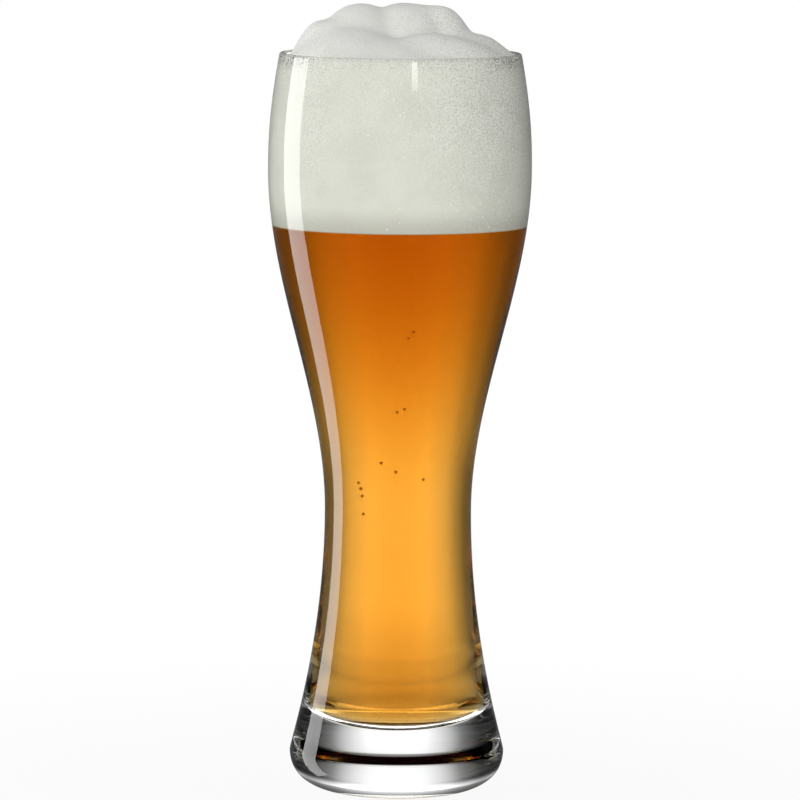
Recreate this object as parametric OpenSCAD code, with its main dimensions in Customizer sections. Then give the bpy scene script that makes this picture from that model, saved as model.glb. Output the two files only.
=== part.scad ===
// Tall wheat-beer glass, poured full, with a cloudy foam head that stands above the rim.
// Origin at the centre of the foot, on the table. +Z up the glass, +X to the right, +Y away from the viewer.

/* [Glass outline] */
// Height of the glass, table to rim
glass_h = 240; // [220:1:270]
// Outer diameter at the rim
rim_d = 78.4; // [74:0.2:83]
// Largest outer diameter, at the belly
belly_d = 85.3; // [81:0.1:90]
// Height from the belly's widest place up to the rim
shoulder_h = 37.5; // [28:0.5:48]
// Outer diameter at the waist
waist_d = 47.5; // [44:0.1:54]
// Height of the waist
waist_z = 91.5; // [80:0.5:100]
// Largest outer diameter of the foot
foot_d = 69.6; // [64:0.1:76]
// Height of the foot's widest place
foot_z = 12.9; // [10:0.1:16]
// Outer diameter of the flat ring that the glass stands on
ring_d = 42; // [38:0.5:50]
// Width of that ring
ring_w = 2.2; // [1:0.1:4]
// Height of the hollow under the foot
punt_h = 2.4; // [1:0.1:4]

/* [Glass walls] */
// Wall thickness at the rim
rim_wall = 1.8; // [1.2:0.1:2.4]
// Wall thickness at the belly
belly_wall = 2; // [1.5:0.1:3]
// Wall thickness at the waist
waist_wall = 3.2; // [2.2:0.1:4.5]
// Inner diameter where the straight well meets the rounded floor
well_d = 43; // [37:0.1:46]
// Height of that place
well_z = 26.2; // [23:0.1:36]
// Height of the inner floor at the middle, so the thickness of the base
floor_z = 19; // [14:0.1:22]

/* [Beer and foam] */
// Height of the foam inside the glass, from the beer up to the rim
foam_h = 55.8; // [30:0.1:90]
// How far the foam's edge lies below the rim
foam_edge_drop = 1.2; // [1:0.1:6]
// Gap between the heap of foam and the wall at the rim
foam_edge_gap = 0.5; // [0.3:0.1:2]
// Height of the heap's tallest lump above the foam's edge
crown_h = 16.8; // [8:0.1:26]
// How softly one lump of foam runs into the next
fold_blend = 1.3; // [0.5:0.1:2]

/* [Hidden] */
$fn = 96;

rim_r = rim_d / 2;
belly_r = belly_d / 2;
waist_r = waist_d / 2;
foot_r = foot_d / 2;
ring_r = ring_d / 2;
well_r = well_d / 2;
lip_r = rim_wall / 2;
belly_z = glass_h - shoulder_h;
beer_z = glass_h - foam_h;
foam_edge_z = glass_h - foam_edge_drop;
heap_r = rim_r - rim_wall - foam_edge_gap;

// Pull of each curve's two handles, as shares of the rise or spread between its ends
heel_share = [0.1, 0.86];
foot_share = [0.03, 0.545];
bowl_share = [0.34, 0.34];
shoulder_share = [0.21, 0.51];
// Slope of the wall as it leans in to the rim
rim_lean_share = 0.18;
well_share = [0.3, 0.4];
floor_share = [0.65, 0.55];
punt_share = [0.45, 0.5];
curve_steps = 14;
lip_steps = 6;

// Point at t on a curve from p0 to p3, pulled by the handles p1 and p2
function curve_point(p0, p1, p2, p3, t) =
    pow(1 - t, 3) * p0 + 3 * pow(1 - t, 2) * t * p1 + 3 * (1 - t) * t * t * p2 + pow(t, 3) * p3;
function curve(p0, p1, p2, p3) =
    [for (i = [1:curve_steps]) curve_point(p0, p1, p2, p3, i / curve_steps)];
// Curve between two places where the wall stands upright
function upright_curve(a, b, shares) =
    curve(a, a + [0, shares[0] * (b[1] - a[1])], b - [0, shares[1] * (b[1] - a[1])], b);
// Curve from the upright belly to the rim, which leans in
function shoulder_curve(a, b, shares) =
    curve(
        a,
        a + [0, shares[0] * (b[1] - a[1])],
        b + [rim_lean_share, -1] * shares[1] * (b[1] - a[1]),
        b
    );
function reversed(points) = [for (i = [len(points) - 1:-1:0]) points[i]];

// Outside of the glass from the ring it stands on to the rim
heel_out = [ring_r, 0];
foot_out = [foot_r, foot_z];
waist_out = [waist_r, waist_z];
belly_out = [belly_r, belly_z];
rim_out = [rim_r, glass_h - lip_r];
outside = concat(
    [heel_out],
    curve(
        heel_out,
        heel_out + [heel_share[0] * (foot_r - ring_r), 0],
        foot_out - [0, heel_share[1] * foot_z],
        foot_out
    ),
    upright_curve(foot_out, waist_out, foot_share),
    upright_curve(waist_out, belly_out, bowl_share),
    shoulder_curve(belly_out, rim_out, shoulder_share)
);

// Inside of the glass from the middle of the floor to the rim
floor_in = [0, floor_z];
well_in = [well_r, well_z];
waist_in = [waist_r - waist_wall, waist_z];
belly_in = [belly_r - belly_wall, belly_z];
rim_in = [rim_r - rim_wall, glass_h - lip_r];
inside = concat(
    [floor_in],
    curve(
        floor_in,
        floor_in + [floor_share[0] * well_r, 0],
        well_in - [0, floor_share[1] * (well_z - floor_z)],
        well_in
    ),
    upright_curve(well_in, waist_in, well_share),
    upright_curve(waist_in, belly_in, bowl_share),
    shoulder_curve(belly_in, rim_in, shoulder_share)
);

// Fire-polished lip, half round, from the outside over to the inside
lip = [
    for (i = [1:lip_steps - 1])
        let(a = 180 * i / lip_steps)
        [rim_r - lip_r + lip_r * cos(a), glass_h - lip_r + lip_r * sin(a)]
];

// Shallow hollow under the foot, from the ring in to the middle
punt_edge = [ring_r - ring_w, 0];
punt_top = [0, punt_h];
punt = concat(
    [punt_edge],
    curve(
        punt_edge,
        punt_edge + [-punt_share[0] * punt_edge[0], punt_share[1] * punt_h],
        punt_top + [punt_share[0] * punt_edge[0], 0],
        punt_top
    )
);

// Lumps of the foam heap. Each is place across, place back, half-width (shares of the heap's radius),
// height (share of the crown) and fullness, where more makes a flatter top with steeper sides.
lump_shares = [
    [-0.35, 0.00, 0.47, 1.01, 2.3],
    [-0.62, -0.06, 0.35, 0.72, 3.1],
    [-0.44, -0.26, 0.56, 0.62, 2.0],
    [0.05, 0.12, 0.52, 1.02, 2.6],
    [0.34, 0.10, 0.35, 0.95, 2.4],
    [0.59, -0.04, 0.44, 0.47, 2.3],
    [0.26, -0.42, 0.44, 0.50, 2.2],
    [-0.08, -0.50, 0.46, 0.38, 2.2],
    [0.52, -0.46, 0.40, 0.38, 2.2],
    [-0.16, 0.52, 0.44, 0.70, 2.4],
    [0.30, 0.54, 0.40, 0.56, 2.4],
    [0.64, 0.32, 0.38, 0.42, 2.4],
    [-0.60, 0.42, 0.40, 0.50, 2.4]
];
// Height of the thin foam that lies between the lumps and the wall, as a share of the crown
skirt_share = 0.07;
// How soon the heap rises from its edge: more is sooner
edge_rise = 10;
heap_rings = 18;
heap_turns = 54;

function lump_h(s, u, v) = crown_h * s[3] * (1 - pow(norm([u - s[0], v - s[1]]) / s[2], s[4]));
function heap_h(u, v) =
    let(
        lumps = [for (s = lump_shares) exp(max(lump_h(s, u, v), -crown_h) / fold_blend)],
        skirt = exp(skirt_share * crown_h / fold_blend),
        edge = sqrt(max(0, 1 - pow(norm([u, v]), edge_rise)))
    )
    edge * fold_blend * ln(lumps * [for (s = lump_shares) 1] + skirt);
// Rings of the heap lie closer together towards its edge
function ring_share(i) = 1 - pow(1 - i / heap_rings, 1.6);
function heap_point(i, j) =
    let(
        a = 360 * j / heap_turns,
        u = ring_share(i) * cos(a),
        v = ring_share(i) * sin(a)
    )
    [heap_r * u, heap_r * v, foam_edge_z + heap_h(u, v)];
// How deep the heap is rooted in the foam inside the glass
heap_root = foam_edge_drop * 2;

module turned(outline) {
    rotate_extrude()
        polygon(outline);
}

// What the glass holds between two heights
module filling(low_z, high_z) {
    intersection() {
        turned(concat(inside, [[0, glass_h - lip_r]]));
        translate([0, 0, low_z])
            cylinder(h = high_z - low_z, r = belly_r);
    }
}

module heap() {
    rings = [for (i = [1:heap_rings], j = [0:heap_turns - 1]) heap_point(i, j)];
    foot = [
        for (j = [0:heap_turns - 1])
            let(a = 360 * j / heap_turns)
            [heap_r * cos(a), heap_r * sin(a), foam_edge_z - heap_root]
    ];
    top = [heap_point(0, 0)];
    n = heap_turns;
    last = heap_rings * n;
    crown_faces = [for (j = [0:n - 1]) [0, 1 + (j + 1) % n, 1 + j]];
    side_faces = [
        for (i = [0:heap_rings - 1], j = [0:n - 1], half = [0, 1])
            let(
                a = 1 + i * n + j,
                b = 1 + i * n + (j + 1) % n
            )
            half == 0 ? [a, b, b + n] : [a, b + n, a + n]
    ];
    floor_face = [[for (j = [0:n - 1]) 1 + last + j]];
    polyhedron(points = concat(top, rings, foot), faces = concat(crown_faces, side_faces, floor_face));
}

module glass() {
    color([0.86, 0.92, 0.93, 0.35])
        turned(concat(reversed(punt), outside, lip, reversed(inside)));
}

module beer() {
    color([0.85, 0.47, 0.07])
        filling(floor_z, beer_z);
}

module foam_head() {
    color([0.95, 0.94, 0.89])
        union() {
            filling(beer_z, foam_edge_z);
            heap();
        }
}

glass();
beer();
foam_head();
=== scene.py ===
import math

import bmesh
import bpy
from mathutils import Matrix, Vector, noise


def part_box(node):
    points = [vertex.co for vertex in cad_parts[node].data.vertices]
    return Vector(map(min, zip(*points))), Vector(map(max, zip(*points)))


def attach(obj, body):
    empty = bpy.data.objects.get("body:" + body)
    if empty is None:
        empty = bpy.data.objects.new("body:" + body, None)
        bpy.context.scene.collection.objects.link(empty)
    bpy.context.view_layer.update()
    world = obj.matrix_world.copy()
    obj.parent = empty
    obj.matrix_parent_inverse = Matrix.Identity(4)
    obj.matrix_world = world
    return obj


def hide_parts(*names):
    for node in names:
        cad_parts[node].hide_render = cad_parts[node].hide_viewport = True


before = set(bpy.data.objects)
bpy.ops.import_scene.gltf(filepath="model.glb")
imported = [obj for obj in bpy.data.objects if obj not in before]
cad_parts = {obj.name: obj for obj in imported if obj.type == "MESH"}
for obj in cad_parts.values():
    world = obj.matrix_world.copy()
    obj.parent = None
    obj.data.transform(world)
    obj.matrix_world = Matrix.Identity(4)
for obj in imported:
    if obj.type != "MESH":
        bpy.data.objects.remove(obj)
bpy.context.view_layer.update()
scene = bpy.context.scene

# Sizes below are in millimetres of the real glass, apart from the studio's, which are in metres.
# unit turns a millimetre into metres of the frame.
glassLow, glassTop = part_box("glass")
realHigh = 240
unit = (glassTop.z - glassLow.z) / realHigh
print("frame loaded, one millimetre is", round(unit, 6))


# Curves and turned meshes

samePoint = 0.01  # points of an outline that are closer than this count as one
poleRadius = 1e-6  # a ring narrower than this is a single point
sharpFrom = 40  # degrees between two faces from which their edge shows
curveSteps = 40


def curvePoint(p0, p1, p2, p3, t):
    s = 1 - t
    weights = (s**3, 3 * s * s * t, 3 * s * t * t, t**3)
    return tuple(sum(w * p[axis] for w, p in zip(weights, (p0, p1, p2, p3))) for axis in (0, 1))


def curve(p0, p1, p2, p3):
    return [curvePoint(p0, p1, p2, p3, i / curveSteps) for i in range(1, curveSteps + 1)]


def uprightCurve(a, b, pull):
    # between two places where the wall stands upright
    rise = b[1] - a[1]
    return curve(a, (a[0], a[1] + pull[0] * rise), (b[0], b[1] - pull[1] * rise), b)


def shoulderCurve(a, b, pull, lean):
    # from the upright belly to the rim, which leans in
    rise = b[1] - a[1]
    rimHandle = (b[0] + lean * pull[1] * rise, b[1] - pull[1] * rise)
    return curve(a, (a[0], a[1] + pull[0] * rise), rimHandle, b)


def radiusAt(outline, high):
    # radius of an outline that only rises, at one height
    for (r0, z0), (r1, z1) in zip(outline, outline[1:]):
        if z0 <= high <= z1 and z1 > z0:
            return r0 + (r1 - r0) * (high - z0) / (z1 - z0)
    return outline[-1][0]


def wallUpTo(outline, high):
    lower = [p for p in outline if p[1] < high - samePoint]
    return lower + [(radiusAt(outline, high), high)]


def pushedOut(outline, depth):
    # the outline moved to its right by depth, so a liquid's skin lies inside the glass
    moved = []
    for i, (r, z) in enumerate(outline):
        r0, z0 = outline[max(i - 1, 0)]
        r1, z1 = outline[min(i + 1, len(outline) - 1)]
        long = math.hypot(r1 - r0, z1 - z0)
        moved.append((max(r + depth * (z1 - z0) / long, 0), z - depth * (r1 - r0) / long))
    return moved


def turnedRings(outline, turns):
    rings = []
    for r, z in outline:
        if r < poleRadius:
            rings.append([(0, 0, z)])
            continue
        angles = [2 * math.pi * j / turns for j in range(turns)]
        rings.append([(r * math.cos(a), r * math.sin(a), z) for a in angles])
    return rings


def ringMesh(name, rings, turns, slotOf=None):
    # skin over rings of points that lie one above another; a ring of one point closes it
    verts, starts = [], []
    for ring in rings:
        starts.append(len(verts))
        verts.extend(tuple(unit * c for c in p) for p in ring)
    faces, slots = [], []
    for i in range(len(rings) - 1):
        a, b = starts[i], starts[i + 1]
        for j in range(turns):
            k = (j + 1) % turns
            slots.append(slotOf(i) if slotOf else 0)
            if len(rings[i]) == 1:
                faces.append((a, b + k, b + j))
            elif len(rings[i + 1]) == 1:
                faces.append((a + j, a + k, b))
            else:
                faces.append((a + j, a + k, b + k, b + j))
    mesh = bpy.data.meshes.new(name)
    mesh.from_pydata(verts, [], faces)
    mesh.polygons.foreach_set("material_index", slots)
    mesh.shade_smooth()
    mesh.set_sharp_from_angle(angle=math.radians(sharpFrom))
    piece = bpy.data.objects.new(name, mesh)
    scene.collection.objects.link(piece)
    return piece


# Nodes

def newMaterial(name):
    material = bpy.data.materials.new(name)
    material.use_nodes = True
    material.node_tree.nodes.clear()
    return material, material.node_tree.nodes, material.node_tree.links


def addNode(nodes, kind, **values):
    # a value goes to the input of its name, or else to the node's own setting
    made = nodes.new(kind)
    for key, value in values.items():
        if key in made.inputs:
            made.inputs[key].default_value = value
        else:
            setattr(made, key, value)
    return made


# The glass

glass = {
    "rimWide": 78.4,
    "bellyWide": 85.3,
    "shoulderHigh": 37.5,  # from the belly up to the rim
    "waistWide": 47.5,
    "waistHigh": 91.5,
    "footWide": 69.6,
    "footHigh": 12.9,  # where the foot is widest
    "ringWide": 42,  # flat ring that the glass stands on
    "ringBand": 2.2,
    "puntHigh": 2.4,  # hollow under the foot
    "rimWall": 1.8,
    "bellyWall": 2,
    "waistWall": 3.2,
    "wellWide": 43,  # where the straight well meets its rounded floor
    "wellHigh": 26.2,
    "floorHigh": 19,
    # pull of each curve's two handles, as shares of the rise or spread between its ends
    "heelPull": (0.1, 0.86),
    "footPull": (0.03, 0.545),
    "bowlPull": (0.34, 0.34),
    "shoulderPull": (0.21, 0.51),
    "rimLean": 0.18,
    "wellPull": (0.3, 0.4),
    "floorPull": (0.65, 0.55),
    "puntPull": (0.45, 0.5, 0.45),
    "lipSteps": 12,
    "turns": 192,
    "tint": (0.99, 1.0, 0.995, 1),
    "bend": 1.5,  # index of refraction
}


def outsideOutline(s):
    heel = (s["ringWide"] / 2, 0)
    foot = (s["footWide"] / 2, s["footHigh"])
    waist = (s["waistWide"] / 2, s["waistHigh"])
    belly = (s["bellyWide"] / 2, realHigh - s["shoulderHigh"])
    rim = (s["rimWide"] / 2, realHigh - s["rimWall"] / 2)
    heelHandle = (heel[0] + s["heelPull"][0] * (foot[0] - heel[0]), 0)
    footHandle = (foot[0], foot[1] * (1 - s["heelPull"][1]))
    return (
        [heel]
        + curve(heel, heelHandle, footHandle, foot)
        + uprightCurve(foot, waist, s["footPull"])
        + uprightCurve(waist, belly, s["bowlPull"])
        + shoulderCurve(belly, rim, s["shoulderPull"], s["rimLean"])
    )


def insideOutline(s):
    floor = (0, s["floorHigh"])
    well = (s["wellWide"] / 2, s["wellHigh"])
    waist = (s["waistWide"] / 2 - s["waistWall"], s["waistHigh"])
    belly = (s["bellyWide"] / 2 - s["bellyWall"], realHigh - s["shoulderHigh"])
    rim = (s["rimWide"] / 2 - s["rimWall"], realHigh - s["rimWall"] / 2)
    floorHandle = (s["floorPull"][0] * well[0], floor[1])
    wellHandle = (well[0], well[1] - s["floorPull"][1] * (well[1] - floor[1]))
    return (
        [floor]
        + curve(floor, floorHandle, wellHandle, well)
        + uprightCurve(well, waist, s["wellPull"])
        + uprightCurve(waist, belly, s["bowlPull"])
        + shoulderCurve(belly, rim, s["shoulderPull"], s["rimLean"])
    )


def lipOutline(s):
    half = s["rimWall"] / 2
    middle = (s["rimWide"] / 2 - half, realHigh - half)
    angles = [math.pi * i / s["lipSteps"] for i in range(1, s["lipSteps"])]
    return [(middle[0] + half * math.cos(a), middle[1] + half * math.sin(a)) for a in angles]


def puntOutline(s):
    edge = (s["ringWide"] / 2 - s["ringBand"], 0)
    top = (0, s["puntHigh"])
    edgeHandle = (edge[0] * (1 - s["puntPull"][0]), s["puntPull"][1] * top[1])
    return [edge] + curve(edge, edgeHandle, (s["puntPull"][2] * edge[0], top[1]), top)


def passSoftLight(nodes, links, shader, output):
    # light on its way to the foam goes straight through, so the glass doesn't shut it out
    passLight = addNode(nodes, "ShaderNodeBsdfTransparent")
    ray = addNode(nodes, "ShaderNodeLightPath")
    for kind in ("Is Shadow Ray", "Is Diffuse Ray"):
        mix = addNode(nodes, "ShaderNodeMixShader")
        links.new(ray.outputs[kind], mix.inputs[0])
        links.new(shader.outputs[0], mix.inputs[1])
        links.new(passLight.outputs[0], mix.inputs[2])
        shader = mix
    links.new(shader.outputs[0], output.inputs["Surface"])


def clearGlassMaterial(name, bend):
    material, nodes, links = newMaterial(name)
    output = addNode(nodes, "ShaderNodeOutputMaterial")
    body = addNode(
        nodes,
        "ShaderNodeBsdfPrincipled",
        **{"Base Color": glass["tint"], "Transmission Weight": 1.0, "IOR": bend, "Roughness": 0.0},
    )
    passSoftLight(nodes, links, body, output)
    return material


def makeGlass():
    s = glass
    before = puntOutline(s)[::-1] + outsideOutline(s) + lipOutline(s)
    beerTop = realHigh - beer["foamDeep"]
    inside = insideOutline(s)
    inside = wallUpTo(inside, beerTop) + [p for p in inside if p[1] > beerTop + samePoint]
    outline = before + inside[::-1]

    def wetted(i):
        # the second material is for the wall that the beer touches, where light bends less
        return int(i >= len(before) and outline[i][1] <= beerTop)

    piece = ringMesh("glassBody", turnedRings(outline, s["turns"]), s["turns"], wetted)
    piece.data.materials.append(clearGlassMaterial("clearGlass", s["bend"]))
    piece.data.materials.append(clearGlassMaterial("wetGlass", s["bend"] / beer["bend"]))
    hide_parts("glass")
    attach(piece, "root")
    print("glass made,", len(piece.data.polygons), "faces")


# The beer

beer = {
    "foamDeep": 55.8,  # from the rim down to the beer
    "intoGlass": 0.08,  # how deep the beer's skin lies in the glass, so that no film of air shows
    "intoFoam": 0.6,
    "turns": 192,
    "takes": (21, 43.5, 100),  # red, green and blue that a metre takes, as exponents
    "density": 100,  # only a scale for those three, and no less than the largest
    "bend": 1.34,  # index of refraction
}


def beerMaterial():
    # the glass does the bending, so the beer's own skin is clear
    material, nodes, links = newMaterial("wheatBeer")
    output = addNode(nodes, "ShaderNodeOutputMaterial")
    clear = addNode(nodes, "ShaderNodeBsdfTransparent")
    density = beer["density"]
    tint = [1 - c / density for c in beer["takes"]] + [1]
    depth = addNode(nodes, "ShaderNodeVolumeAbsorption", Color=tint, Density=density)
    links.new(clear.outputs[0], output.inputs["Surface"])
    links.new(depth.outputs[0], output.inputs["Volume"])
    return material


def makeBeer():
    s = beer
    top = realHigh - s["foamDeep"] + s["intoFoam"]
    wall = wallUpTo(pushedOut(insideOutline(glass), s["intoGlass"]), top)
    piece = ringMesh("beerFill", turnedRings(wall + [(0, top)], s["turns"]), s["turns"])
    piece.data.materials.append(beerMaterial())
    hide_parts("beer")
    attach(piece, "root")
    print("beer made,", len(piece.data.polygons), "faces")


# Air bubbles on the wall in the beer

bubbles = {
    # place across, height and width of each bubble
    "places": [
        (-12.0, 102.4, 0.9), (-11.3, 100.5, 1.0), (-10.9, 98.1, 1.0), (-10.5, 92.2, 0.9),
        (-5.2, 109.3, 0.95), (-0.7, 106.4, 1.0), (7.7, 103.8, 0.85), (4.5, 152.7, 0.9),
        (3.0, 150.6, 0.8), (-0.4, 126.2, 0.85), (1.8, 127.2, 0.85),
    ],
    "gap": 0.12,  # between a bubble and the wall
    "fineness": 3,
    "tint": (0.88, 0.62, 0.28, 1),  # the light that a bubble throws back came through the beer
}


def bubbleMaterial():
    # air in beer bends light the other way round
    bend = 1 / beer["bend"]
    material, nodes, links = newMaterial("airBubble")
    output = addNode(nodes, "ShaderNodeOutputMaterial")
    body = addNode(nodes, "ShaderNodeBsdfGlass", Color=bubbles["tint"], IOR=bend, Roughness=0.0)
    links.new(body.outputs[0], output.inputs["Surface"])
    return material


def makeBubbles():
    s = bubbles
    wall = insideOutline(glass)
    build = bmesh.new()
    for across, high, wide in s["places"]:
        radius = wide / 2
        depth = math.sqrt(radiusAt(wall, high) ** 2 - across**2) - radius - s["gap"]
        place = Matrix.Translation(Vector((across, -depth, high)) * unit)
        bmesh.ops.create_icosphere(build, subdivisions=s["fineness"], radius=radius * unit, matrix=place)
    mesh = bpy.data.meshes.new("beerBubbles")
    build.to_mesh(mesh)
    build.free()
    mesh.polygons.foreach_set("use_smooth", [True] * len(mesh.polygons))
    mesh.materials.append(bubbleMaterial())
    piece = bpy.data.objects.new("beerBubbles", mesh)
    scene.collection.objects.link(piece)
    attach(piece, "root")
    print("bubbles made,", len(s["places"]))


# The foam

foam = {
    "edgeDrop": 1.2,  # from the rim down to the foam's edge
    "edgeGap": 0.5,  # between the heap and the wall at the rim
    "crownHigh": 16.8,
    "foldBlend": 1.3,  # how softly one lump runs into the next
    "skirt": 0.07,  # height of the thin foam between the lumps and the wall, as a share of the crown
    "edgeRise": 10,  # how soon the heap rises from its edge
    "intoGlass": 0.05,
    "turns": 256,
    "floorRings": 12,
    "heapRings": 120,
    "ringCrowding": 1.3,  # how much closer together the heap's rings lie towards its edge
    "rippleWide": 7,
    "rippleHigh": 0.35,
    "pimpleWide": 1.6,
    "pimpleHigh": 0.07,
    "edgeFade": 12,  # ripples and pimples set in over the outermost twelfth of the heap
    # place across, place back, half-width, height and fullness of each lump of the heap
    "lumps": [
        (-0.35, 0.00, 0.47, 1.01, 2.3),
        (-0.62, -0.06, 0.35, 0.72, 3.1),
        (-0.44, -0.26, 0.56, 0.62, 2.0),
        (0.05, 0.12, 0.52, 1.02, 2.6),
        (0.34, 0.10, 0.35, 0.95, 2.4),
        (0.59, -0.04, 0.44, 0.47, 2.3),
        (0.26, -0.42, 0.44, 0.50, 2.2),
        (-0.08, -0.50, 0.46, 0.38, 2.2),
        (0.52, -0.46, 0.40, 0.38, 2.2),
        (-0.16, 0.52, 0.44, 0.70, 2.4),
        (0.30, 0.54, 0.40, 0.56, 2.4),
        (0.64, 0.32, 0.38, 0.42, 2.4),
        (-0.60, 0.42, 0.40, 0.50, 2.4),
    ],
    "colour": (0.83, 0.845, 0.745, 1),
    "shade": (0.78, 0.79, 0.69, 1),  # in cloudy patches
    "heap": (0.84, 0.84, 0.80, 1),  # above the rim
    "low": (0.6, 0.6, 0.52, 1),  # just above the beer
    "wet": (0.42, 0.26, 0.09, 1),  # where it touches the beer
    "bubble": (0.98, 0.98, 0.97, 1),  # light grain
    "pit": (0.58, 0.58, 0.54, 1),  # dark grain
    "lace": (0.2, 0.21, 0.2, 1),  # flecks just under the rim
    # painted glints, white dots that stand in for light caught on the bubbles
    "sparkle": (1, 1, 1, 1),
    "cloudScale": 90.0,  # this and the other scales are in patches to a metre
    "cloudDetail": 5.0,
    "cloudBand": (0.3, 0.65),  # from the noise that is all shade to the noise that is all colour
    "grainScale": 1900,
    "grainDetail": 2.0,
    "bubbleBand": (0.5, 0.7),  # from none to full, by the grain's noise
    "pitBand": (0.5, 0.33),
    "laceBand": (0.53, 0.42),
    # heights, in millimetres from the rim, between which each thing sets in
    "heapBand": (-3, 2),
    "laceHigh": (-6, -1.5),
    "laceEnd": (-0.4, -1),
    # heights above the beer up to which these reach
    "lowHigh": 9,
    "wetHigh": 0.5,
    # how much grain there is: from one place to the other, and the share at both
    "grainUp": (4, -12, 0.3, 1.0),  # from above the beer to under the rim
    "grainRight": (-5, 36, 0.25, 1.0),  # across, from the middle
    "grainLeft": (-16, -28, 0.0, 0.55),
    "laceSides": (25, 35, 0.12, 1.0),  # to either side of the middle
    "sparkleScale": 1000,
    "sparkleSize": 0.34,
    "sparkleShare": 0.06,  # of the cells that hold a sparkle, at most
    "bumpStrength": 0.25,
    "bumpHigh": 0.0002,  # in metres
    "roughness": 0.7,
    "gloss": 0.2,
    "softness": 0.35,  # share of the light that goes through under the surface
    "softDepth": 0.004,  # in metres
    "softTint": (1, 1, 0.9),
}


def heapHigh(u, v):
    s = foam
    total = math.exp(s["skirt"] * s["crownHigh"] / s["foldBlend"])
    for across, back, wide, high, full in s["lumps"]:
        lump = s["crownHigh"] * high * (1 - (math.hypot(u - across, v - back) / wide) ** full)
        total += math.exp(max(lump, -s["crownHigh"]) / s["foldBlend"])
    edge = math.sqrt(max(0, 1 - math.hypot(u, v) ** s["edgeRise"]))
    return edge * s["foldBlend"] * math.log(total)


def heapPoint(share, angle, heapWide, edgeZ):
    s = foam
    u, v = share * math.cos(angle), share * math.sin(angle)
    high = heapHigh(u, v)
    place = Vector((heapWide * u, heapWide * v, high))
    ripple = noise.noise(place / s["rippleWide"]) * s["rippleHigh"]
    pimple = noise.noise(place / s["pimpleWide"]) * s["pimpleHigh"]
    fade = min(1, (1 - share) * s["edgeFade"])
    # half a ripple lower, so that the heap stays under the solid's top
    return (place.x, place.y, edgeZ + high + fade * (ripple + pimple - s["rippleHigh"] / 2))


def blended(nodes, links, low, high, factor):
    # mixes two colours, or the outputs of two nodes, by a factor
    mix = addNode(nodes, "ShaderNodeMix", data_type="RGBA")
    for socket, value in ((mix.inputs["A"], low), (mix.inputs["B"], high)):
        if isinstance(value, tuple):
            socket.default_value = value
        else:
            links.new(value, socket)
    links.new(factor, mix.inputs["Factor"])
    return mix.outputs["Result"]


def ramped(nodes, links, value, start, end, low=0.0, high=1.0):
    ramp = addNode(
        nodes,
        "ShaderNodeMapRange",
        interpolation_type="SMOOTHSTEP",
        **{"From Min": start, "From Max": end, "To Min": low, "To Max": high},
    )
    links.new(value, ramp.inputs["Value"])
    return ramp.outputs[0]


def rampedInPlace(nodes, links, value, band, base=0.0):
    # a ramp between two places, given in millimetres from the base
    start, end, *shares = band
    return ramped(nodes, links, value, base + start * unit, base + end * unit, *shares)


def joined(nodes, links, operation, a, b=None):
    node = addNode(nodes, "ShaderNodeMath", operation=operation)
    links.new(a, node.inputs[0])
    if b:
        links.new(b, node.inputs[1])
    return node.outputs[0]


def paintedSparkles(nodes, links, place, amount):
    # painted glints: round white dots in a few of the cells, standing in for light caught on the
    # bubbles, more of them where amount is higher
    s = foam
    cells = addNode(nodes, "ShaderNodeTexVoronoi", Scale=s["sparkleScale"])
    parts = addNode(nodes, "ShaderNodeSeparateColor")
    links.new(place, cells.inputs["Vector"])
    links.new(cells.outputs["Color"], parts.inputs[0])
    inside = ramped(nodes, links, cells.outputs["Distance"], s["sparkleSize"], s["sparkleSize"] / 2)
    few = addNode(nodes, "ShaderNodeMath", operation="MULTIPLY")
    few.inputs[1].default_value = s["sparkleShare"]
    links.new(amount, few.inputs[0])
    chosen = joined(nodes, links, "LESS_THAN", parts.outputs[0], few.outputs[0])
    return joined(nodes, links, "MULTIPLY", inside, chosen)


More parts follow.
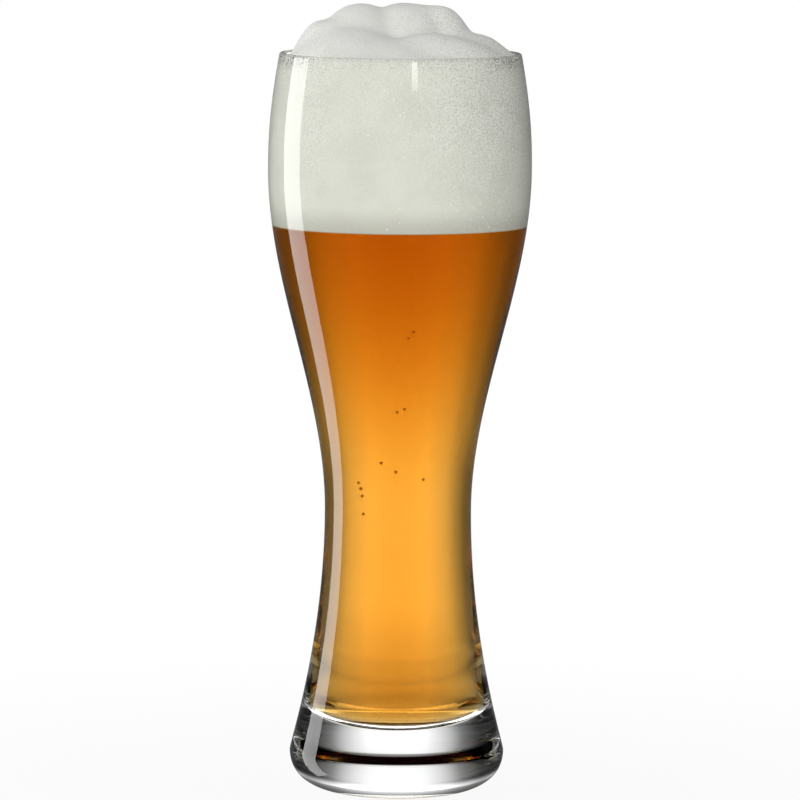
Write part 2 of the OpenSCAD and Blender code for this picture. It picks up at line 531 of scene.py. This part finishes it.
def foamColour(nodes, links, place, fine):
    s = foam
    beerTop = (realHigh - beer["foamDeep"]) * unit
    rim = realHigh * unit
    parts = addNode(nodes, "ShaderNodeSeparateXYZ")
    links.new(place, parts.inputs[0])
    across, high = parts.outputs["X"], parts.outputs["Z"]
    clouds = addNode(nodes, "ShaderNodeTexNoise", Scale=s["cloudScale"], Detail=s["cloudDetail"])
    links.new(place, clouds.inputs["Vector"])

    # cloudy body, whiter heap and darker foam just above the beer
    cloudy = ramped(nodes, links, clouds.outputs["Fac"], *s["cloudBand"])
    overRim = rampedInPlace(nodes, links, high, s["heapBand"], rim)
    overBeer = rampedInPlace(nodes, links, high, (0, s["lowHigh"]), beerTop)
    overWet = rampedInPlace(nodes, links, high, (0, s["wetHigh"]), beerTop)
    body = blended(nodes, links, s["shade"], s["colour"], cloudy)
    body = blended(nodes, links, body, s["heap"], overRim)
    body = blended(nodes, links, s["low"], body, overBeer)

    # grain shows more towards the top and the right, and in the lace just under the rim
    start, end, low, top = s["grainUp"]
    upper = ramped(nodes, links, high, beerTop + start * unit, rim + end * unit, low, top)
    right = rampedInPlace(nodes, links, across, s["grainRight"])
    left = rampedInPlace(nodes, links, across, s["grainLeft"])
    sides = rampedInPlace(nodes, links, joined(nodes, links, "ABSOLUTE", across), s["laceSides"])
    lace = rampedInPlace(nodes, links, high, s["laceHigh"], rim)
    below = rampedInPlace(nodes, links, high, s["laceEnd"], rim)
    lace = joined(nodes, links, "MULTIPLY", joined(nodes, links, "MULTIPLY", lace, below), sides)
    amount = joined(nodes, links, "MULTIPLY", upper, joined(nodes, links, "MAXIMUM", right, left))
    amount = joined(nodes, links, "MAXIMUM", amount, lace)
    light = joined(nodes, links, "MULTIPLY", ramped(nodes, links, fine, *s["bubbleBand"]), amount)
    dark = joined(nodes, links, "MULTIPLY", ramped(nodes, links, fine, *s["pitBand"]), amount)
    flecks = joined(nodes, links, "MULTIPLY", lace, ramped(nodes, links, fine, *s["laceBand"]))
    body = blended(nodes, links, body, s["bubble"], light)
    body = blended(nodes, links, body, s["pit"], dark)
    body = blended(nodes, links, body, s["lace"], flecks)
    # painted glints, more of them towards the right
    body = blended(nodes, links, body, s["sparkle"], paintedSparkles(nodes, links, place, right))
    return blended(nodes, links, s["wet"], body, overWet)


def foamMaterial():
    s = foam
    material, nodes, links = newMaterial("foam")
    output = addNode(nodes, "ShaderNodeOutputMaterial")
    place = addNode(nodes, "ShaderNodeTexCoord").outputs["Object"]
    grain = addNode(nodes, "ShaderNodeTexNoise", Scale=s["grainScale"], Detail=s["grainDetail"])
    links.new(place, grain.inputs["Vector"])
    bump = addNode(nodes, "ShaderNodeBump", Strength=s["bumpStrength"], Distance=s["bumpHigh"])
    links.new(grain.outputs["Fac"], bump.inputs["Height"])
    shader = addNode(
        nodes,
        "ShaderNodeBsdfPrincipled",
        **{
            "Roughness": s["roughness"],
            "Subsurface Weight": s["softness"],
            "Subsurface Radius": s["softTint"],
            "Subsurface Scale": s["softDepth"],
            "Specular IOR Level": s["gloss"],
        },
    )
    links.new(foamColour(nodes, links, place, grain.outputs["Fac"]), shader.inputs["Base Color"])
    links.new(bump.outputs[0], shader.inputs["Normal"])
    links.new(shader.outputs[0], output.inputs["Surface"])
    return material


def makeFoam():
    s = foam
    turns = s["turns"]
    low = realHigh - beer["foamDeep"]
    edgeZ = realHigh - s["edgeDrop"]
    heapWide = glass["rimWide"] / 2 - glass["rimWall"] - s["edgeGap"]
    wall = pushedOut(insideOutline(glass), s["intoGlass"])
    lowRadius = radiusAt(wall, low)
    floor = [(lowRadius * i / s["floorRings"], low) for i in range(s["floorRings"])]
    side = [p for p in wall if low + samePoint < p[1] < edgeZ - samePoint]
    side = [(lowRadius, low)] + side + [(radiusAt(wall, edgeZ), edgeZ)]
    rings = turnedRings(floor + side, turns)
    for i in range(s["heapRings"], 0, -1):
        share = 1 - (1 - i / s["heapRings"]) ** s["ringCrowding"]
        rings.append([heapPoint(share, 2 * math.pi * j / turns, heapWide, edgeZ) for j in range(turns)])
    rings.append([heapPoint(0, 0, heapWide, edgeZ)])
    piece = ringMesh("foamHead", rings, turns)
    piece.data.materials.append(foamMaterial())
    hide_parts("foam_head")
    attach(piece, "root")
    print("foam made,", len(piece.data.polygons), "faces")


# Camera

cameraSpot = {
    "away": 2200,  # this and the next two in millimetres
    "aside": 0.46,
    "high": 355.8,
    "pitch": 5.93,  # degrees down
    "roll": 0.349,
    "lens": 306.8,
    "sensor": 36,
    "sees": (0.05, 60),  # from and to, in metres
}


def makeCamera():
    s = cameraSpot
    data = bpy.data.cameras.new("photoCamera")
    data.lens = s["lens"]
    data.sensor_width = s["sensor"]
    data.clip_start, data.clip_end = s["sees"]
    camera = bpy.data.objects.new("photoCamera", data)
    scene.collection.objects.link(camera)
    place = Matrix.Translation(Vector((s["aside"], -s["away"], s["high"])) * unit)
    tilt = Matrix.Rotation(math.radians(90 - s["pitch"]), 4, "X")
    roll = Matrix.Rotation(math.radians(s["roll"]), 4, "Z")
    camera.matrix_world = place @ tilt @ roll
    scene.camera = camera
    print("camera placed")
    return camera


# What clear glass shows is the room round it. The tent, the lights and the card below are that room,
# and turn with the camera. Tables give a value for each angle in degrees or height in metres.

def alongTable(table, x):
    for (x0, y0), (x1, y1) in zip(table, table[1:]):
        if x <= x1:
            return y0 + (y1 - y0) * max(0, x - x0) / (x1 - x0)
    return table[-1][1]


def glowMaterial(name, inGloss):
    # glows at the mesh's own level through the glass, and at a share of it in reflections
    material, nodes, links = newMaterial(name)
    output = addNode(nodes, "ShaderNodeOutputMaterial")
    glow = addNode(nodes, "ShaderNodeEmission")
    level = addNode(nodes, "ShaderNodeAttribute", attribute_name="level")
    ray = addNode(nodes, "ShaderNodeLightPath")
    share = addNode(nodes, "ShaderNodeMapRange", **{"To Min": inGloss, "To Max": 1.0})
    strength = addNode(nodes, "ShaderNodeMath", operation="MULTIPLY")
    links.new(ray.outputs["Is Transmission Ray"], share.inputs["Value"])
    links.new(level.outputs["Fac"], strength.inputs[0])
    links.new(share.outputs[0], strength.inputs[1])
    links.new(strength.outputs[0], glow.inputs["Strength"])
    links.new(glow.outputs[0], output.inputs["Surface"])
    return material


def wallFaces(columns, rows):
    # faces of a wall whose points stand in upright columns
    faces = []
    for i in range(columns - 1):
        for k in range(rows - 1):
            a = i * rows + k
            faces.append((a, a + 1, a + rows + 1, a + rows))
    return faces


def stagePiece(verts, faces, levels, material, camera, seen):
    # a piece of the room, which only the kinds of ray in seen can see
    mesh = bpy.data.meshes.new(material.name)
    mesh.from_pydata(verts, [], faces)
    layer = mesh.attributes.new("level", "FLOAT", "POINT")
    layer.data.foreach_set("value", levels)
    piece = bpy.data.objects.new(material.name, mesh)
    scene.collection.objects.link(piece)
    mesh.materials.append(material)
    for kind in ("camera", "diffuse", "glossy", "transmission", "volume_scatter", "shadow"):
        setattr(piece, "visible_" + kind, kind in seen)
    piece.parent = camera
    piece.matrix_parent_inverse = camera.matrix_world.inverted()


# Light tent

tent = {
    "radius": 4.0,
    "middle": (0, 0, 0.12),
    "across": 240,
    "down": 360,
    # how bright the tent is, by degrees that a ray turns away from straight on: as most rays see it,
    # as rays that rise see it, and as those that reach the table near the foot see it
    "sides": [
        (0, 1.0), (10, 1.0), (13, 0.89), (17, 0.76), (21, 0.63), (25, 0.45), (29, 0.31), (34, 0.215),
        (38, 0.15), (41, 0.125), (45, 0.11), (50, 0.10), (56, 0.10), (62, 0.10), (70, 0.02),
        (180, 0.012),
    ],
    "sidesHigh": [
        (0, 1.0), (10, 1.0), (13, 0.92), (17, 0.83), (21, 0.70), (25, 0.52), (29, 0.41), (34, 0.335),
        (39, 0.25), (43, 0.21), (48, 0.19), (54, 0.21), (60, 0.25), (66, 0.25), (75, 0.05),
        (180, 0.012),
    ],
    "sidesLow": [
        (0, 1.0), (10, 1.0), (13, 0.89), (19, 0.75), (24, 0.60), (29, 0.56), (33, 0.58),
        (38, 0.58), (43, 0.50), (50, 0.25), (62, 0.05), (180, 0.012),
    ],
    # the rises between which the sides go over to sidesHigh, and the share of sidesLow by rise
    "highFrom": -1,
    "highTo": 6,
    "lowShare": [(-90, 0.4), (-26, 0.4), (-22.5, 1), (-20.3, 1), (-19.2, 0), (90, 0)],
    # how bright it is by rise straight on
    "rise": [
        (-90, 0.05), (-60, 0.3), (-46.2, 1.3), (-42.9, 1.7), (-42.2, 3.0), (-39.3, 3.8), (-35.3, 3.4),
        (-31.8, 3.3), (-27.4, 3.3), (-23.8, 3.5), (-22.5, 4.15), (-21.7, 3.4), (-20.9, 2.7),
        (-20.2, 2.17), (-19.1, 2.3), (-15, 2.8), (0, 2.7), (11, 2.6), (13.5, 2.3), (15.5, 1.0),
        (20, 0.7), (28, 0.35), (40, 0.2), (90, 0.1),
    ],
    # how far rays seen at one height in the glass sink to the sides, by their rise straight on
    "bow": [
        (-90, 0.0057), (-22.4, 0.0057), (-20.6, 0.0042), (-19, 0.003), (-15, 0.002), (-6, 0), (90, 0),
    ],
    "bowTo": 52,  # degrees aside, beyond which they sink no further
    "bowReach": 16,  # degrees, more than they ever sink
    "bowHalvings": 12,
    # light behind the camera that reaches the low edges of the beer, by rise and by degrees aside
    "back": [
        (-90, 0), (-34, 0), (-26, 0.14), (-20, 0.2), (-2, 0.2), (4, 0.25), (9, 0.42), (28, 0.45),
        (36, 0.1), (50, 0), (90, 0),
    ],
    "backSides": [(0, 0), (98, 0), (110, 1), (162, 1), (172, 0), (180, 0)],
    "inGloss": 0.05,  # how much of the tent shows in the outer reflections
}


def riseStraightOn(aside, rise):
    # the rise, straight on, of the rays that are seen at the same height in the glass
    low, high = rise, rise + tent["bowReach"]
    for _ in range(tent["bowHalvings"]):
        middle = (low + high) / 2
        if middle - alongTable(tent["bow"], middle) * aside**2 > rise:
            high = middle
        else:
            low = middle
    return low


def tentLevel(aside, rise):
    s = tent
    back = alongTable(s["back"], rise) * alongTable(s["backSides"], aside)
    rise = riseStraightOn(min(aside, s["bowTo"]), rise)
    upper = (rise - s["highFrom"]) / (s["highTo"] - s["highFrom"])
    level = alongTable(s["sides"], aside)
    level += (alongTable(s["sidesHigh"], aside) - level) * max(0, min(1, upper))
    level += (alongTable(s["sidesLow"], aside) - level) * alongTable(s["lowShare"], rise)
    return level * alongTable(s["rise"], rise) + back


def makeTent(camera):
    s = tent
    across, down = s["across"], s["down"]
    verts, levels, faces = [], [], []
    for i in range(down + 1):
        rise = math.radians(-90 + 180 * i / down)
        for j in range(across):
            turn = 2 * math.pi * j / across
            flat = math.cos(rise)
            way = Vector((flat * math.sin(turn), flat * math.cos(turn), math.sin(rise)))
            verts.append(Vector(s["middle"]) + s["radius"] * way)
            levels.append(tentLevel(math.degrees(math.acos(math.cos(turn))), math.degrees(rise)))
    for i in range(down):
        for j in range(across):
            k = (j + 1) % across
            a, b = i * across, (i + 1) * across
            faces.append((a + j, a + k, b + k, b + j))
    material = glowMaterial("lightTent", s["inGloss"])
    stagePiece(verts, faces, levels, material, camera, ("glossy", "transmission"))


# Strip light

strip = {
    "away": 1.5,
    "from": 97,  # degrees to the left, counted from the camera's side
    "to": 121,
    "inner": 4.4,  # level at its two edges
    "outer": 3.6,
    "heights": [(-1.2, 0.7), (-0.1, 1), (1.8, 1)],  # and the share of the level at each
    "steps": 24,
}


def makeStrip(camera):
    # tall soft light at the left, seen only in reflections
    s = strip
    verts, levels = [], []
    for i in range(s["steps"] + 1):
        share = i / s["steps"]
        turn = math.radians(180 - (s["from"] + (s["to"] - s["from"]) * share))
        level = s["inner"] + (s["outer"] - s["inner"]) * share
        for high, dim in s["heights"]:
            verts.append((-s["away"] * math.sin(turn), s["away"] * math.cos(turn), high))
            levels.append(level * dim)
    faces = wallFaces(s["steps"] + 1, len(s["heights"]))
    stagePiece(verts, faces, levels, glowMaterial("stripLight", 1.0), camera, ("glossy",))


# Panel light

panel = {
    "across": (0.0735, 0.1137),
    "front": -0.416,
    "heights": (0.319, 0.376),
    "levels": (2, 10),  # at its lower and its upper edge
}


def makePanel(camera):
    # small light near the rim, seen only as a reflection in the front of the glass
    (x0, x1), y, (z0, z1) = panel["across"], panel["front"], panel["heights"]
    verts = [(x0, y, z0), (x1, y, z0), (x1, y, z1), (x0, y, z1)]
    lower, upper = panel["levels"]
    levels = [lower, lower, upper, upper]
    stagePiece(verts, [(0, 1, 2, 3)], levels, glowMaterial("panelLight", 1.0), camera, ("glossy",))


# Grey card

card = {
    "away": 0.06,
    # how clear it is by degrees from straight on, and how much of it there is by height
    "clear": [
        (0, 0.42), (1, 0.42), (2.3, 0.40), (3.7, 0.35), (5.2, 0.29), (7, 0.20), (9.9, 0.14),
        (14.8, 0.06), (23, 0.03), (90, 0.03),
    ],
    "heights": [(-0.0085, 0), (-0.0058, 1), (0.017, 1), (0.027, 0)],
    "drop": [(0, 0), (3, 0), (5.5, 0.0055), (20, 0.0055), (30, 0), (90, 0)],  # of its lower edge
    "steps": 360,
}


def cardMaterial():
    material, nodes, links = newMaterial("greyCard")
    output = addNode(nodes, "ShaderNodeOutputMaterial")
    level = addNode(nodes, "ShaderNodeAttribute", attribute_name="level")
    clear = addNode(nodes, "ShaderNodeBsdfTransparent")
    links.new(level.outputs["Color"], clear.inputs["Color"])
    links.new(clear.outputs[0], output.inputs["Surface"])
    return material


def makeCard(camera):
    # low grey card behind the foot, seen only through the glass
    s = card
    verts, levels = [], []
    for i in range(s["steps"] + 1):
        turn = -90 + 180 * i / s["steps"]
        clear = alongTable(s["clear"], abs(turn))
        across = s["away"] * math.sin(math.radians(turn))
        back = s["away"] * math.cos(math.radians(turn))
        drop = alongTable(s["drop"], abs(turn))
        for high, share in s["heights"]:
            verts.append((across, back, high - (drop if high < 0 else 0)))
            levels.append(1 + (clear - 1) * share)
    faces = wallFaces(s["steps"] + 1, len(s["heights"]))
    stagePiece(verts, faces, levels, cardMaterial(), camera, ("transmission",))


# Floor and backdrop

backdrop = {
    "white": 1.0,
    "floorWide": 3.0,
    "floorSides": 96,
    "floorPaint": (0.9, 0.9, 0.9, 1),
    "floorNear": 0.9,  # how much of the white the floor has beside the foot, over its own paint
    "nearTo": 0.04,  # from the middle out, where it starts to go over to the full white
    "farFrom": 0.35,
    # light that comes from all round, on the left and on the right
    "ambientLeft": 0.58,
    "ambientRight": 0.04,
}


def makeFloor():
    # to the camera the floor is white, and painted near the foot so that the shadow stays
    s = backdrop
    wide, sides = s["floorWide"], s["floorSides"]
    angles = [2 * math.pi * i / sides for i in range(sides)]
    verts = [(0, 0, 0)] + [(wide * math.cos(a), wide * math.sin(a), 0) for a in angles]
    mesh = bpy.data.meshes.new("floor")
    mesh.from_pydata(verts, [], [(0, 1 + i, 1 + (i + 1) % sides) for i in range(sides)])
    piece = bpy.data.objects.new("floor", mesh)
    scene.collection.objects.link(piece)
    material, nodes, links = newMaterial("paleFloor")
    output = addNode(nodes, "ShaderNodeOutputMaterial")
    place = addNode(nodes, "ShaderNodeTexCoord")
    far = addNode(nodes, "ShaderNodeVectorMath", operation="LENGTH")
    paint = addNode(nodes, "ShaderNodeBsdfDiffuse", Color=s["floorPaint"])
    glow = addNode(nodes, "ShaderNodeEmission", Strength=s["white"])
    ray = addNode(nodes, "ShaderNodeLightPath")
    seen = addNode(nodes, "ShaderNodeMath", operation="MULTIPLY")
    mix = addNode(nodes, "ShaderNodeMixShader")
    links.new(place.outputs["Object"], far.inputs[0])
    white = ramped(nodes, links, far.outputs["Value"], s["nearTo"], s["farFrom"], s["floorNear"], 1.0)
    links.new(white, seen.inputs[0])
    links.new(ray.outputs["Is Camera Ray"], seen.inputs[1])
    links.new(seen.outputs[0], mix.inputs[0])
    links.new(paint.outputs[0], mix.inputs[1])
    links.new(glow.outputs[0], mix.inputs[2])
    links.new(mix.outputs[0], output.inputs["Surface"])
    mesh.materials.append(material)
    piece.visible_glossy = False
    piece.visible_transmission = False


def makeWorld():
    # white to the camera, and soft light from the left to all else
    s = backdrop
    world = bpy.data.worlds.new("studio")
    scene.world = world
    world.use_nodes = True
    nodes, links = world.node_tree.nodes, world.node_tree.links
    nodes.clear()
    output = addNode(nodes, "ShaderNodeOutputWorld")
    ray = addNode(nodes, "ShaderNodeLightPath")
    way = addNode(nodes, "ShaderNodeTexCoord")
    parts = addNode(nodes, "ShaderNodeSeparateXYZ")
    sideways = {"From Min": -1.0, "To Min": s["ambientLeft"], "To Max": s["ambientRight"]}
    soft = addNode(nodes, "ShaderNodeMapRange", **sideways)
    level = addNode(nodes, "ShaderNodeMapRange", **{"To Max": s["white"]})
    back = addNode(nodes, "ShaderNodeBackground", Color=(1, 1, 1, 1))
    links.new(way.outputs["Generated"], parts.inputs[0])
    links.new(parts.outputs["X"], soft.inputs["Value"])
    links.new(soft.outputs[0], level.inputs["To Min"])
    links.new(ray.outputs["Is Camera Ray"], level.inputs["Value"])
    links.new(level.outputs[0], back.inputs["Strength"])
    links.new(back.outputs[0], output.inputs["Surface"])


# Lamps, which light the foam and the floor

lampRig = {
    "aimAt": (0, 0, 0.18),
    # name, place, size and watts
    "lamps": [
        ("keyLamp", (0.1, -1.8, 0.8), 0.9, 17),
        ("topLamp", (-0.2, 0.2, 1.7), 1.0, 4),
        ("sideLamp", (-1.6, 0.7, 0.3), 0.6, 9),
        ("backLamp", (0.3, 1.8, 0.4), 0.9, 8),
    ],
}


def makeLamps():
    target = Vector(lampRig["aimAt"])
    for name, place, size, power in lampRig["lamps"]:
        data = bpy.data.lights.new(name, "AREA")
        data.size = size
        data.energy = power
        lamp = bpy.data.objects.new(name, data)
        lamp.location = place
        lamp.rotation_euler = (target - Vector(place)).to_track_quat("-Z", "Y").to_euler()
        lamp.visible_glossy = False
        lamp.visible_transmission = False
        scene.collection.objects.link(lamp)


camera = makeCamera()
makeWorld()
makeTent(camera)
makeStrip(camera)
makePanel(camera)
makeCard(camera)
makeFloor()
makeLamps()
print("studio ready")
makeGlass()
makeBeer()
makeBubbles()
makeFoam()

scene.view_settings.view_transform = "Standard"
cycles = scene.cycles
cycles.max_bounces = 32
cycles.transmission_bounces = 32
cycles.glossy_bounces = 16
cycles.transparent_max_bounces = 32
cycles.diffuse_bounces = 4
cycles.use_denoising = True
